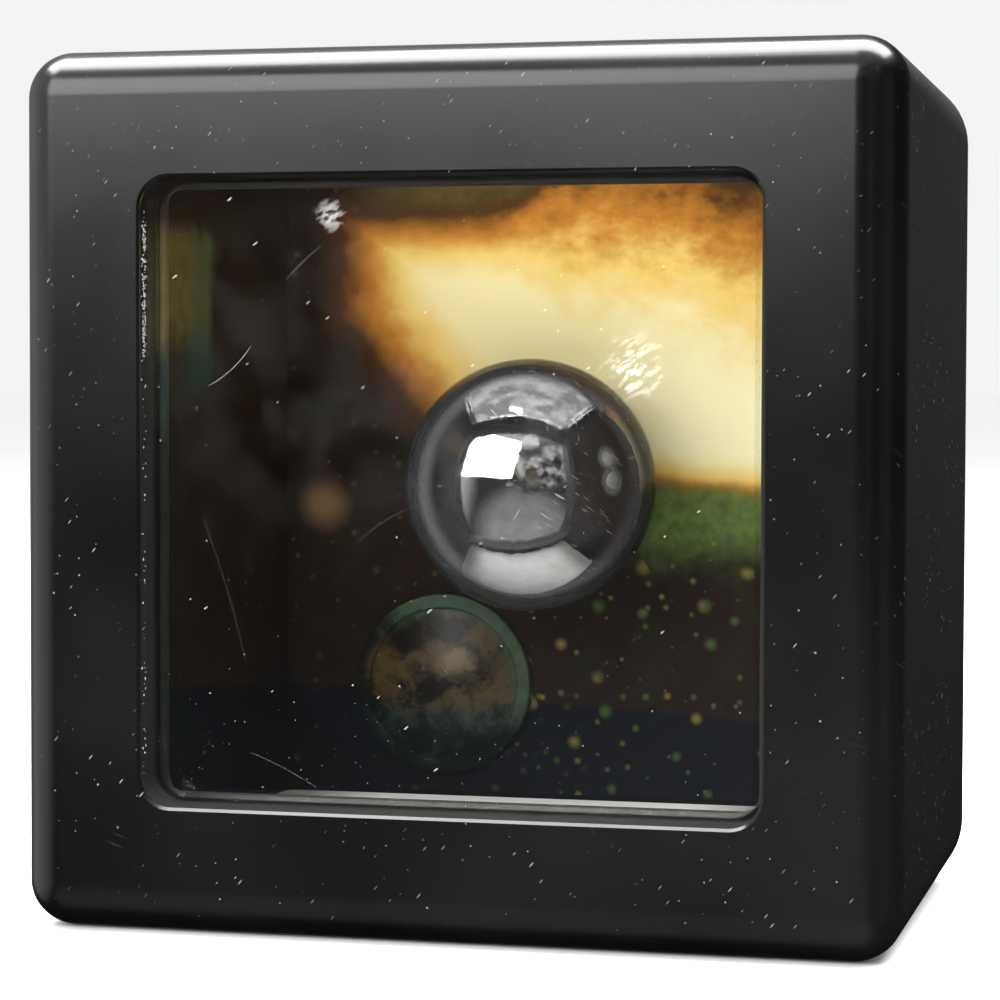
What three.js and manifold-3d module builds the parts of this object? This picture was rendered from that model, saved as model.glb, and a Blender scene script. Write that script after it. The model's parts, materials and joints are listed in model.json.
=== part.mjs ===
// Windowed radiometer head: a black, nearly cubic housing with a glass pane in its front and its
// top, and inside it a polished ball, a gold-coated mirror, a detector lens and a chopper wheel.
// Millimetres, +Z up, +Y to the rear. The origin is the centre of the underside.

import * as THREE from "three";
import { mergeVertices } from "three/addons/utils/BufferGeometryUtils.js";
import { LoftGeometry } from "three/addons/geometries/LoftGeometry.js";
import Module from "manifold-3d";

const wasm = await Module();
wasm.setup();

// Housing.
const bodyWidth = 62.5;
const bodyHeight = 62;
const bodyDepth = 42.7;
const frontFillet = 3.3;
const rearFillet = 5;
const wallThickness = 5.4;
const cavityCorner = 1.5;

// Windows: a pane let into a rebate, on a gasket, against a ledge.
const bezelSide = 9.25;
const bezelTop = 9;
const topWindowSetback = 6.5;
const topWindowToMirror = 0.8;
const openingCorner = 2.2;
const paneThickness = 3;
const paneRecess = 0.5;
const paneBevel = 0.4;
const gasketThickness = 0.4;
const ledgeWidth = 1.2;

// Chamber: baffles, floor and tile, with the mirror behind it.
const sideSpace = 3.35; // from the chamber's wall to the housing's
const sheetThickness = 0.8;
const tileMargin = 2.5;
const tileToMirror = 7.5;
const tileCorner = 1;
const tileThickness = 0.5;
const mirrorToRear = 7.9; // from the mirror's face to the rear face
const mirrorThickness = 1;
const bulkheadThickness = 1.2;

// Ball and its stem.
const ballDiameter = 19.05;
const ballToMirror = 0.625;
const stemRadius = 1.5;
const stemSocketDepth = 6;
const collarRadius = 2.7;
const washerRadius = 3.4;
const washerThickness = 0.5;
const nutAcrossFlats = 5.5;
const nutHeight = 2.1;

// Detector lens, low on the left of the mirror.
const lensDiameter = 12.7;
const lensAboveFloor = 1.4;
const lensEdge = 1.3;
const lensRise = 1.3;
const ringWall = 0.65;
const ringLip = 0.4;
const ringLipThickness = 0.3;
const beamRadius = 4;

// Chopper, motor and detector behind the bulkhead.
const chopperToWall = 0.65;
const chopperBearing = 36.34; // degrees above level, from the lens's axis to the chopper's
const chopperRadius = 10;
const chopperHubZone = 4.4;
const chopperBlades = 5;
const chopperThickness = 0.25;
const chopperClearance = 0.5;
const hubRadius = 1.9;
const hubSpigot = 1.25;
const hubSpigotLength = 0.25;
const shaftRadius = 0.75;
const motorRadius = 4;
const motorLength = 2.1;
const motorEndWall = 0.4;
const detectorRadius = 2.3;
const detectorCanShare = 0.85;
const detectorLength = 1.7;
const detectorFlange = 0.4;

// Boards and rear cover.
const boardThickness = 0.8;
const insulatorThickness = 0.2;
const coverThickness = 1.1;
const standoffRadius = 1.4;
const standoffInset = 1.55;
const standoffHeightInset = 2.8;
const standoffFloor = 1;
const threadRadius = 0.8;
const threadEngagement = 3;
const screwHeadRadius = 1.5;
const screwDriveDepth = 0.5;
const postWidth = 2.4;
const postHeight = 5;
const chips = {
  amplifier_chip: { x: 11, z: 6, width: 7, height: 5, thickness: 1.2 },
  driver_chip: { x: -13, z: 2, width: 4, height: 4, thickness: 0.9 },
};

// Side ports: two small lenses in the right-hand baffle, each with a photodiode behind it.
const portRadius = 2.2;
const portAheadOfBall = 4.65;
const portHeights = { upper: 7.5, lower: 1.5 };
const portRise = 0.6;
const diodeSize = 3;
const diodeThickness = 1.1;
const sideBoardMargin = 3; // from either end of the chamber
const sideBoardLow = -8;
const sideBoardHigh = 14;

// Flat ribbon from the side board to the main board.
const ribbonWidth = 6;
const ribbonThickness = 0.2;
const ribbonBend = 1;
const ribbonNotch = 1.8;
const ribbonLanding = 4;

// Output socket, in the lower right of the rear.
const socketFromSide = 11.85;
const socketAboveFloor = 10.6;
const socketWidth = 9;
const socketHeight = 4.4;
const socketToBulkhead = 1.4;
const socketWall = 0.7;
const contactCount = 4;
const contactSize = 0.5;

// Clearances.
const sideGap = 0.3; // round the edge of a piece that drops into a cut-out
const seatGap = 0.1; // between two faces that meet
const runningGap = 0.1; // radial, round a turning shaft or a thread
const overrun = 1; // how far a cutting shape passes the face that it cuts

// Places worked out from the sizes above. Depths are measured back from the front face, and
// heights up from mid height.
const halfWidth = bodyWidth / 2;
const halfHeight = bodyHeight / 2;
const cavityHalfWidth = halfWidth - wallThickness;
const cavityHalfHeight = halfHeight - wallThickness;
const rebateDepth = paneRecess + paneThickness + gasketThickness + 2 * seatGap;
const windowWidth = bodyWidth - 2 * bezelSide;
const windowHeight = bodyHeight - 2 * bezelTop;
const mirrorDepth = bodyDepth - mirrorToRear;
const topWindowLength = mirrorDepth - topWindowToMirror - topWindowSetback;
const chamberHalfWidth = cavityHalfWidth - sideSpace;
const chamberFront = wallThickness + seatGap;
const chamberBack = mirrorDepth - sideGap;
const floorTop = -cavityHalfHeight + seatGap + sheetThickness;
const ballRadius = ballDiameter / 2;
const ballDepth = mirrorDepth - ballToMirror - ballRadius;
const bulkheadFront = mirrorDepth + mirrorThickness + seatGap;
const bulkheadBack = bulkheadFront + bulkheadThickness;
const coverFront = bodyDepth - coverThickness;
const insulatorFront = coverFront - seatGap - insulatorThickness;
const boardFront = insulatorFront - seatGap - boardThickness;
const partsBack = boardFront - seatGap; // where what stands on the board ends
const lensBore = lensDiameter / 2 + runningGap;
const ringRadius = lensBore + ringWall;
const bladeMiddle = (chopperHubZone + chopperRadius) / 2; // the beam passes at this radius
const bearing = THREE.MathUtils.degToRad(chopperBearing);
const chopperX = -cavityHalfWidth + chopperToWall + chopperRadius;
const lensX = chopperX + bladeMiddle * Math.cos(bearing);
const lensZ = floorTop + lensAboveFloor + ringRadius;
const chopperZ = lensZ + bladeMiddle * Math.sin(bearing);
const portDepth = ballDepth - portAheadOfBall;
const socketX = cavityHalfWidth - socketFromSide;
const socketZ = -cavityHalfHeight + socketAboveFloor;
const standoffX = cavityHalfWidth - standoffInset;
const standoffZ = cavityHalfHeight - standoffHeightInset;
const screwHeadDrop = screwHeadRadius - threadRadius;
const corners = [
  [-1, -1],
  [1, -1],
  [-1, 1],
  [1, 1],
];

// Boolean operations on closed geometries.

function toSolid(geometry) {
  const bare = new THREE.BufferGeometry().copy(geometry);
  for (const name of Object.keys(bare.attributes))
    if (name !== "position") bare.deleteAttribute(name);
  const merged = mergeVertices(bare, 1e-5);
  return new wasm.Manifold(
    new wasm.Mesh({
      numProp: 3,
      vertProperties: Float32Array.from(merged.attributes.position.array),
      triVerts: Uint32Array.from(merged.index.array),
    }),
  );
}

function toGeometry(solid) {
  const mesh = solid.getMesh();
  const geometry = new THREE.BufferGeometry();
  geometry.setAttribute("position", new THREE.BufferAttribute(mesh.vertProperties, 3));
  geometry.setIndex(new THREE.BufferAttribute(mesh.triVerts, 1));
  geometry.computeVertexNormals();
  return geometry;
}

function cut(body, ...tools) {
  return toGeometry(tools.reduce((rest, tool) => rest.subtract(toSolid(tool)), toSolid(body)));
}

function join(first, ...others) {
  return toGeometry(others.reduce((sum, other) => sum.add(toSolid(other)), toSolid(first)));
}

// Shapes and slabs.

function roundedRectangle(width, height, radius, centreX = 0, centreY = 0) {
  const shape = new THREE.Shape();
  const x = width / 2;
  const y = height / 2;
  shape.moveTo(centreX - x + radius, centreY - y);
  shape.absarc(centreX + x - radius, centreY - y + radius, radius, -Math.PI / 2, 0);
  shape.absarc(centreX + x - radius, centreY + y - radius, radius, 0, Math.PI / 2);
  shape.absarc(centreX - x + radius, centreY + y - radius, radius, Math.PI / 2, Math.PI);
  shape.absarc(centreX - x + radius, centreY - y + radius, radius, Math.PI, 1.5 * Math.PI);
  return shape;
}

function extruded(shape, length, bevel = 0, segments = 4) {
  const geometry = new THREE.ExtrudeGeometry(shape, {
    depth: length - 2 * bevel,
    bevelEnabled: bevel > 0,
    bevelThickness: bevel,
    bevelSize: bevel,
    bevelOffset: -bevel,
    bevelSegments: 1,
    curveSegments: segments,
  });
  return geometry.translate(0, 0, bevel);
}

// A shape drawn in X and Z, running back from one depth to another.
function slabAlongY(shape, from, to, bevel = 0, segments = 4) {
  return extruded(shape, to - from, bevel, segments).rotateX(Math.PI / 2).translate(0, to, 0);
}

// A shape drawn in X and Y, running up from one height to another.
function slabAlongZ(shape, from, to, bevel = 0) {
  return extruded(shape, to - from, bevel).translate(0, 0, from);
}

function box(x0, x1, y0, y1, z0, z1) {
  return new THREE.BoxGeometry(x1 - x0, y1 - y0, z1 - z0).translate(
    (x0 + x1) / 2,
    (y0 + y1) / 2,
    (z0 + z1) / 2,
  );
}

function boxAbout(x, z, width, height, y0, y1) {
  return box(x - width / 2, x + width / 2, y0, y1, z - height / 2, z + height / 2);
}

// A round bar along Y.
function barAlongY(x, z, radius, from, to, sides = 16) {
  return new THREE.CylinderGeometry(radius, radius, to - from, sides).translate(
    x,
    (from + to) / 2,
    z,
  );
}

// A profile of [radius, depth] points, turned about Y.
function turnedAboutY(profile, sides = 20) {
  return new THREE.LatheGeometry(
    profile.map(([radius, depth]) => new THREE.Vector2(radius, depth)),
    sides,
  );
}

function frameShape(outerWidth, outerHeight, innerWidth, innerHeight, corner) {
  const shape = roundedRectangle(outerWidth, outerHeight, corner);
  shape.holes.push(roundedRectangle(innerWidth, innerHeight, corner / 2));
  return shape;
}

// Finishes.

function finish(color, roughness, metalness = 0, opacity = 1) {
  return new THREE.MeshStandardMaterial({
    color,
    roughness,
    metalness,
    opacity,
    transparent: opacity < 1,
  });
}

const finishes = {
  housing: finish(0x17181a, 0.42),
  glass: finish(0xe6efe9, 0.03, 0, 0.2),
  rubber: finish(0x1c1c1c, 0.85),
  baffle: finish(0x14100d, 0.6),
  tile: finish(0xf2f1ec, 0.9),
  gold: finish(0xd9b04a, 0.25, 1),
  aluminium: finish(0xa9abae, 0.4, 1),
  chrome: finish(0xd6d7d9, 0.04, 1),
  steel: finish(0x8f9194, 0.3, 1),
  coatedLens: finish(0x3f7d59, 0.05, 0, 0.5),
  board: finish(0x1d5a33, 0.5),
  chip: finish(0x18181a, 0.5),
  brass: finish(0xc59a3f, 0.3, 1),
  film: finish(0xb9822a, 0.4),
};

// The head's own axes: origin at the middle of the front face, +Y going in, +Z up.
const head = new THREE.Group();
head.position.set(0, -bodyDepth / 2, halfHeight);

function add(name, geometry, material, parent = head) {
  const mesh = new THREE.Mesh(geometry, material);
  mesh.name = name;
  parent.add(mesh);
  return mesh;
}

// Housing: one block with filleted edges, its corners a little rounder at the rear.

function housingSection(depth, inset, corner) {
  const outline = roundedRectangle(bodyWidth - 2 * inset, bodyHeight - 2 * inset, corner);
  const points = outline.getPoints(4).slice(1);
  return points.map((point) => new THREE.Vector3(point.x, depth, point.y)).reverse();
}

function filletSections(radius, depthAt) {
  const steps = 5;
  const sections = [];
  for (let step = 0; step <= steps; step++) {
    const angle = (step / steps) * (Math.PI / 2);
    const inset = radius * (1 - Math.sin(angle));
    const corner = Math.max(radius - inset, 0.1);
    sections.push(housingSection(depthAt(radius * (1 - Math.cos(angle))), inset, corner));
  }
  return sections;
}

function housingBlock() {
  const front = filletSections(frontFillet, (rise) => rise);
  const rear = filletSections(rearFillet, (rise) => bodyDepth - rise).reverse();
  return new LoftGeometry([...front, ...rear], { capStart: true, capEnd: true });
}

function topWindowCut(width, length, corner, from, to) {
  const middle = topWindowSetback + topWindowLength / 2;
  return slabAlongZ(roundedRectangle(width, length, corner, 0, middle), from, to);
}

function corneredPosts() {
  return corners.map(([sideX, sideZ]) => {
    const x = sideX * (cavityHalfWidth - postWidth / 2);
    const z = sideZ * (cavityHalfHeight - postHeight / 2);
    return boxAbout(x, z, postWidth, postHeight, wallThickness, bulkheadFront - seatGap);
  });
}

function makeHousing() {
  const cavity = cut(
    slabAlongY(
      roundedRectangle(2 * cavityHalfWidth, 2 * cavityHalfHeight, cavityCorner),
      wallThickness,
      bodyDepth + overrun,
    ),
    ...corneredPosts(),
  );
  const threadHoles = corners.map(([sideX, sideZ]) =>
    barAlongY(
      sideX * standoffX,
      sideZ * standoffZ,
      threadRadius + runningGap,
      bulkheadFront - seatGap - threadEngagement - sideGap,
      bulkheadFront,
      12,
    ),
  );
  const geometry = cut(
    housingBlock(),
    cavity,
    slabAlongY(
      roundedRectangle(windowWidth, windowHeight, openingCorner),
      -overrun,
      rebateDepth,
    ),
    slabAlongY(
      roundedRectangle(
        windowWidth - 2 * ledgeWidth,
        windowHeight - 2 * ledgeWidth,
        openingCorner / 2,
      ),
      -overrun,
      wallThickness + overrun,
    ),
    topWindowCut(
      windowWidth,
      topWindowLength,
      openingCorner,
      halfHeight - rebateDepth,
      halfHeight + overrun,
    ),
    topWindowCut(
      windowWidth - 2 * ledgeWidth,
      topWindowLength - 2 * ledgeWidth,
      openingCorner / 2,
      cavityHalfHeight - overrun,
      halfHeight + overrun,
    ),
    ...threadHoles,
  );
  add("housing", geometry, finishes.housing);
}

// Windows. Each is built lying flat, outer face up, and then placed in its opening.

function makeWindow(name, width, length) {
  const window = new THREE.Group();
  const paneTop = -paneRecess;
  const paneUnderside = paneTop - paneThickness;
  const gasketTop = paneUnderside - seatGap;
  const paneShape = roundedRectangle(width - 2 * sideGap, length - 2 * sideGap, openingCorner);
  const gasketShape = frameShape(
    width - 2 * sideGap,
    length - 2 * sideGap,
    width - 2 * ledgeWidth,
    length - 2 * ledgeWidth,
    openingCorner,
  );
  add(
    name + "_window",
    slabAlongZ(paneShape, paneUnderside, paneTop, paneBevel),
    finishes.glass,
    window,
  );
  add(
    name + "_gasket",
    slabAlongZ(gasketShape, gasketTop - gasketThickness, gasketTop),
    finishes.rubber,
    window,
  );
  head.add(window);
  return window;
}

function makeWindows() {
  makeWindow("front", windowWidth, windowHeight).rotation.x = Math.PI / 2;
  makeWindow("top", windowWidth, topWindowLength).position.set(
    0,
    topWindowSetback + topWindowLength / 2,
    halfHeight,
  );
}

// Chamber: sheet baffles and floor, the white tile, and the mirror on its bulkhead.

function makeBaffles() {
  const front = chamberFront;
  const low = -cavityHalfHeight + seatGap;
  const high = cavityHalfHeight - seatGap;
  const outer = chamberHalfWidth + sheetThickness;
  const portHoles = Object.values(portHeights).map((height) =>
    new THREE.CylinderGeometry(
      portRadius + sideGap,
      portRadius + sideGap,
      2 * (sheetThickness + overrun),
      16,
    )
      .rotateZ(Math.PI / 2)
      .translate(chamberHalfWidth, portDepth, height),
  );
  add("left_baffle", box(-outer, -chamberHalfWidth, front, chamberBack, low, high), finishes.baffle);
  add(
    "right_baffle",
    cut(box(chamberHalfWidth, outer, front, chamberBack, low, high), ...portHoles),
    finishes.baffle,
  );
}

function makeFloor() {
  const edge = chamberHalfWidth - seatGap;
  const tileFront = chamberFront + seatGap + sheetThickness;
  const tileLength = mirrorDepth - tileToMirror - tileFront;
  const tileWidth = 2 * (chamberHalfWidth - tileMargin);
  const tileTop = floorTop + seatGap + tileThickness;
  add(
    "floor_plate",
    box(-edge, edge, chamberFront, chamberBack, floorTop - sheetThickness, floorTop),
    finishes.baffle,
  );
  add(
    "reference_tile",
    slabAlongZ(
      roundedRectangle(tileWidth, tileLength, tileCorner, 0, tileFront + tileLength / 2),
      floorTop + seatGap,
      tileTop,
    ),
    finishes.tile,
  );
}

function makeMirror() {
  const halfWidthOfMirror = cavityHalfWidth - postWidth - sideGap;
  const height = 2 * (cavityHalfHeight - sideGap);
  const plate = slabAlongY(
    roundedRectangle(2 * halfWidthOfMirror, height, 0.5),
    mirrorDepth,
    mirrorDepth + mirrorThickness,
  );
  const reach = [mirrorDepth - overrun, mirrorDepth + mirrorThickness + overrun];
  add(
    "mirror_plate",
    cut(
      plate,
      barAlongY(0, 0, collarRadius + sideGap, ...reach, 24),
      barAlongY(lensX, lensZ, ringRadius + sideGap, ...reach, 32),
    ),
    finishes.gold,
  );
}

function makeBulkhead() {
  const plate = slabAlongY(
    roundedRectangle(
      2 * (cavityHalfWidth - sideGap),
      2 * (cavityHalfHeight - sideGap),
      cavityCorner,
    ),
    bulkheadFront,
    bulkheadBack,
  );
  const reach = [bulkheadFront - overrun, bulkheadBack + overrun];
  const screwHoles = corners.map(([sideX, sideZ]) =>
    barAlongY(sideX * standoffX, sideZ * standoffZ, threadRadius + sideGap, ...reach, 12),
  );
  add(
    "bulkhead",
    cut(
      plate,
      barAlongY(0, 0, stemRadius + sideGap, ...reach, 20),
      barAlongY(lensX, lensZ, beamRadius, ...reach, 24),
      boxAbout(
        cavityHalfWidth - ribbonNotch / 2,
        0,
        ribbonNotch,
        ribbonWidth + 2 * sideGap,
        ...reach,
      ),
      ...screwHoles,
    ),
    finishes.aluminium,
  );
}

// Ball on a stem, clamped to the bulkhead through the mirror.

function makeBall() {
  const socket = barAlongY(
    0,
    0,
    stemRadius + runningGap,
    ballDepth + ballRadius - stemSocketDepth,
    ballDepth + ballRadius + overrun,
    20,
  );
  const sphere = new THREE.SphereGeometry(ballRadius, 30, 18).rotateX(Math.PI / 2);
  add("polished_ball", cut(sphere.translate(0, ballDepth, 0), socket), finishes.chrome);
}

function makeStem() {
  const tip = ballDepth + ballRadius - stemSocketDepth + sideGap;
  const collarFront = mirrorDepth;
  const collarBack = bulkheadFront - seatGap;
  const washerFront = bulkheadBack + seatGap;
  const nutFront = washerFront + washerThickness + seatGap;
  const nutBack = nutFront + nutHeight;
  const nutRadius = nutAcrossFlats / Math.sqrt(3);
  const bore = stemRadius + runningGap;
  add(
    "ball_stem",
    turnedAboutY([
      [0, tip],
      [stemRadius, tip],
      [stemRadius, collarFront],
      [collarRadius, collarFront],
      [collarRadius, collarBack],
      [stemRadius, collarBack],
      [stemRadius, nutBack + seatGap],
      [0, nutBack + seatGap],
    ]),
    finishes.steel,
  );
  add(
    "stem_washer",
    turnedAboutY([
      [bore, washerFront],
      [washerRadius, washerFront],
      [washerRadius, washerFront + washerThickness],
      [bore, washerFront + washerThickness],
      [bore, washerFront],
    ]),
    finishes.steel,
  );
  add(
    "stem_nut",
    cut(
      barAlongY(0, 0, nutRadius, nutFront, nutBack, 6),
      barAlongY(0, 0, bore, nutFront - overrun, nutBack + overrun, 20),
    ),
    finishes.brass,
  );
}

// Detector lens in its ring, and the detector on the main board behind it.

function makeLens() {
  const radius = lensDiameter / 2;
  const back = bulkheadFront - seatGap;
  const edgeFront = back - lensEdge;
  const sphereRadius = (radius ** 2 + lensRise ** 2) / (2 * lensRise);
  const domeRise = (r) => sphereRadius - Math.sqrt(sphereRadius ** 2 - r ** 2);
  const steps = 6;
  const dome = [];
  for (let step = 0; step <= steps; step++) {
    const r = (step / steps) * radius;
    dome.push([r, edgeFront - lensRise + domeRise(r)]);
  }
  const lipRadius = lensBore - ringLip;
  const lipBack = dome[0][1] + domeRise(lipRadius) - seatGap;
  const lipFront = lipBack - ringLipThickness;
  const place = new THREE.Group();
  place.position.set(lensX, 0, lensZ);
  head.add(place);
  add(
    "detector_lens",
    turnedAboutY([...dome, [radius, back], [0, back]], 32),
    finishes.coatedLens,
    place,
  );
  add(
    "lens_ring",
    turnedAboutY(
      [
        [lipRadius, lipFront],
        [ringRadius, lipFront],
        [ringRadius, back],
        [lensBore, back],
        [lensBore, lipBack],
        [lipRadius, lipBack],
        [lipRadius, lipFront],
      ],
      32,
    ),
    finishes.chip,
    place,
  );
  const canRadius = detectorRadius * detectorCanShare;
  add(
    "detector",
    turnedAboutY([
      [0, partsBack - detectorLength],
      [canRadius, partsBack - detectorLength],
      [canRadius, partsBack - detectorFlange],
      [detectorRadius, partsBack - detectorFlange],
      [detectorRadius, partsBack],
      [0, partsBack],
    ]),
    finishes.brass,
    place,
  );
}

// Chopper: a bladed wheel on a hub, turned by a flat motor on the main board.

function chopperShape() {
  const shape = new THREE.Shape();
  const halfBlade = Math.PI / chopperBlades / 2;
  for (let blade = 0; blade < chopperBlades; blade++) {
    const middle = (blade * 2 * Math.PI) / chopperBlades + Math.PI / 2;
    const from = middle - halfBlade;
    const to = middle + halfBlade;
    const next = from + (2 * Math.PI) / chopperBlades;
    const start = [Math.cos(from) * chopperHubZone, Math.sin(from) * chopperHubZone];
    if (blade === 0) shape.moveTo(...start);
    shape.absarc(0, 0, chopperRadius, from, to);
    shape.absarc(0, 0, chopperHubZone, to, next);
  }
  const hole = new THREE.Path();
  hole.absarc(0, 0, hubSpigot + runningGap, 0, 2 * Math.PI);
  shape.holes.push(hole);
  return shape;
}

function makeChopper() {
  const discFront = bulkheadBack + chopperClearance;
  const discBack = discFront + chopperThickness;
  const motorFront = partsBack - motorLength;
  const hubBack = motorFront - seatGap;
  const hubFront = discFront - hubSpigotLength;
  const shaftBack = partsBack - motorEndWall;
  const bore = shaftRadius + runningGap;
  const axle = new THREE.Group();
  axle.position.set(chopperX, 0, chopperZ);
  head.add(axle);
  add("chopper_disc", slabAlongY(chopperShape(), discFront, discBack, 0, 5), finishes.baffle, axle);
  add(
    "chopper_hub",
    turnedAboutY([
      [bore, hubFront],
      [hubSpigot, hubFront],
      [hubSpigot, discBack + seatGap / 2],
      [hubRadius, discBack + seatGap / 2],
      [hubRadius, hubBack],
      [bore, hubBack],
      [bore, hubFront],
    ]),
    finishes.brass,
    axle,
  );
  add("chopper_shaft", barAlongY(0, 0, shaftRadius, hubFront, shaftBack), finishes.steel, axle);
  add(
    "chopper_motor",
    cut(
      barAlongY(0, 0, motorRadius, motorFront, partsBack, 28),
      barAlongY(0, 0, bore, motorFront - overrun, shaftBack + seatGap),
    ),
    finishes.steel,
    axle,
  );
}

// Main board with its chips and output socket.

function makeBoard() {
  const plate = slabAlongY(
    roundedRectangle(
      2 * (cavityHalfWidth - sideGap),
      2 * (cavityHalfHeight - sideGap),
      cavityCorner,
    ),
    boardFront,
    boardFront + boardThickness,
  );
  const reach = [boardFront - overrun, boardFront + boardThickness + overrun];
  add("main_board", cut(plate, ...rearHoles(reach)), finishes.board);
  for (const [name, chip] of Object.entries(chips)) {
    const geometry = boxAbout(
      chip.x,
      chip.z,
      chip.width,
      chip.height,
      partsBack - chip.thickness,
      partsBack,
    );
    add(name, geometry, finishes.chip);
  }
}

// The holes that the board, the insulator and the cover share: four screws and the socket.
function rearHoles(reach) {
  const screwHole = threadRadius + runningGap;
  const holes = corners.map(([sideX, sideZ]) =>
    barAlongY(sideX * standoffX, sideZ * standoffZ, screwHole, ...reach, 16),
  );
  holes.push(
    boxAbout(
      socketX,
      socketZ,
      socketWidth + 2 * sideGap,
      socketHeight + 2 * sideGap,
      ...reach,
    ),
  );
  return holes;
}

function makeSocket() {
  const front = bulkheadBack + socketToBulkhead;
  const back = bodyDepth - seatGap;
  const floorOfSocket = front + socketWall;
  add(
    "output_socket",
    cut(
      boxAbout(socketX, socketZ, socketWidth, socketHeight, front, back),
      boxAbout(
        socketX,
        socketZ,
        socketWidth - 2 * socketWall,
        socketHeight - 2 * socketWall,
        floorOfSocket,
        back + overrun,
      ),
    ),
    finishes.chip,
  );
  const pitch = (socketWidth - 2 * socketWall) / contactCount;
  const barFront = floorOfSocket + seatGap;
  const barBack = barFront + contactSize;
  const pins = [];
  for (let pin = 0; pin < contactCount; pin++) {
    const x = socketX + (pin - (contactCount - 1) / 2) * pitch;
    pins.push(boxAbout(x, socketZ, contactSize, contactSize, barFront, back - socketWall));
  }
  const bar = boxAbout(
    socketX,
    socketZ,
    pitch * contactCount - 2 * sideGap,
    2 * contactSize,
    barFront,
    barBack,
  );
  add("socket_contacts", join(bar, ...pins), finishes.brass);
}

// Side ports and the board that carries their photodiodes.

const sideBoardOuter = cavityHalfWidth - sideGap;
const sideBoardInner = sideBoardOuter - boardThickness;
const sideBoardBack = chamberBack - sideBoardMargin;

function makePorts() {
  const outer = chamberHalfWidth + sheetThickness;
  for (const [which, height] of Object.entries(portHeights)) {
    const lens = turnedAboutY(
      [
        [0, -portRise],
        [portRadius * 0.6, -portRise * 0.7],
        [portRadius, 0],
        [portRadius, outer - chamberHalfWidth],
        [0, outer - chamberHalfWidth],
      ],
      20,
    );
    const mesh = add("port_lens_" + which, lens, finishes.coatedLens);
    mesh.rotation.z = -Math.PI / 2;
    mesh.position.set(chamberHalfWidth, portDepth, height);
    const back = sideBoardInner - seatGap;
    add(
      "port_diode_" + which,
      box(
        back - diodeThickness,
        back,
        portDepth - diodeSize / 2,
        portDepth + diodeSize / 2,
        height - diodeSize / 2,
        height + diodeSize / 2,
      ),
      finishes.chip,
    );
  }
  add(
    "side_board",
    box(
      sideBoardInner,
      sideBoardOuter,
      chamberFront + sideBoardMargin,
      sideBoardBack,
      sideBoardLow,
      sideBoardHigh,
    ),
    finishes.board,
  );
}

// A flat ribbon from the side board, through a notch in the bulkhead, to the main board.

function makeRibbon() {
  const outerX = sideBoardInner - seatGap;
  const innerX = outerX - ribbonThickness;
  const nearY = partsBack - ribbonThickness;
  const innerBend = ribbonBend - ribbonThickness;
  const startY = sideBoardBack - ribbonLanding;
  const endX = outerX - ribbonBend - ribbonLanding;
  const shape = new THREE.Shape();
  shape.moveTo(outerX, startY);
  shape.absarc(outerX - ribbonBend, partsBack - ribbonBend, ribbonBend, 0, Math.PI / 2);
  shape.lineTo(endX, partsBack);
  shape.lineTo(endX, nearY);
  shape.absarc(innerX - innerBend, nearY - innerBend, innerBend, Math.PI / 2, 0, true);
  shape.lineTo(innerX, startY);
  add(
    "side_ribbon",
    slabAlongZ(shape, -ribbonWidth / 2, ribbonWidth / 2),
    finishes.film,
  );
}

// Rear cover on an insulating film, held by four screws that go into the standoffs.

function makeRear() {
  const width = 2 * (cavityHalfWidth - sideGap);
  const height = 2 * (cavityHalfHeight - sideGap);
  const shape = roundedRectangle(width, height, cavityCorner);
  const sinkBottom = bodyDepth - screwHeadDrop - seatGap;
  const sinkRadius = screwHeadRadius + runningGap;
  const insulatorReach = [insulatorFront - overrun, coverFront];
  const coverReach = [coverFront - overrun, bodyDepth + overrun];
  add(
    "insulator_film",
    cut(
      slabAlongY(shape, insulatorFront, insulatorFront + insulatorThickness),
      ...rearHoles(insulatorReach),
    ),
    finishes.film,
  );
  const sinks = corners.map(([sideX, sideZ]) =>
    turnedAboutY(
      [
        [0, sinkBottom],
        [threadRadius + runningGap, sinkBottom],
        [sinkRadius, bodyDepth],
        [sinkRadius, bodyDepth + overrun],
        [0, bodyDepth + overrun],
      ],
      16,
    ).translate(sideX * standoffX, 0, sideZ * standoffZ),
  );
  add(
    "rear_cover",
    cut(slabAlongY(shape, coverFront, bodyDepth), ...rearHoles(coverReach), ...sinks),
    finishes.housing,
  );
}

function makeFasteners() {
  const standoffFront = bulkheadBack + seatGap;
  const studTip = bulkheadFront - seatGap - threadEngagement;
  const screwTip = standoffFront + standoffFloor;
  const bore = threadRadius + runningGap;
  corners.forEach(([sideX, sideZ], index) => {
    const place = new THREE.Group();
    place.position.set(sideX * standoffX, 0, sideZ * standoffZ);
    head.add(place);
    const standoff = turnedAboutY(
      [
        [0, studTip],
        [threadRadius, studTip],
        [threadRadius, standoffFront],
        [standoffRadius, standoffFront],
        [standoffRadius, partsBack],
        [bore, partsBack],
        [bore, screwTip - seatGap],
        [0, screwTip - seatGap],
      ],
      16,
    );
    const screw = turnedAboutY(
      [
        [0, screwTip],
        [threadRadius, screwTip],
        [threadRadius, bodyDepth - screwHeadDrop],
        [screwHeadRadius, bodyDepth],
        [0, bodyDepth],
      ],
      16,
    );
    const driveFloor = bodyDepth - screwDriveDepth;
    const drive = barAlongY(0, 0, threadRadius, driveFloor, bodyDepth + overrun, 6);
    add("standoff_" + (index + 1), standoff, finishes.brass, place);
    add("cover_screw_" + (index + 1), cut(screw, drive), finishes.steel, place);
  });
}

makeHousing();
makeWindows();
makeBaffles();
makeFloor();
makeMirror();
makeBulkhead();
makeBall();
makeStem();
makeLens();
makeChopper();
makeBoard();
makeSocket();
makePorts();
makeRibbon();
makeRear();
makeFasteners();

const radiometer = new THREE.Group();
radiometer.add(head);

export default radiometer;
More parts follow.
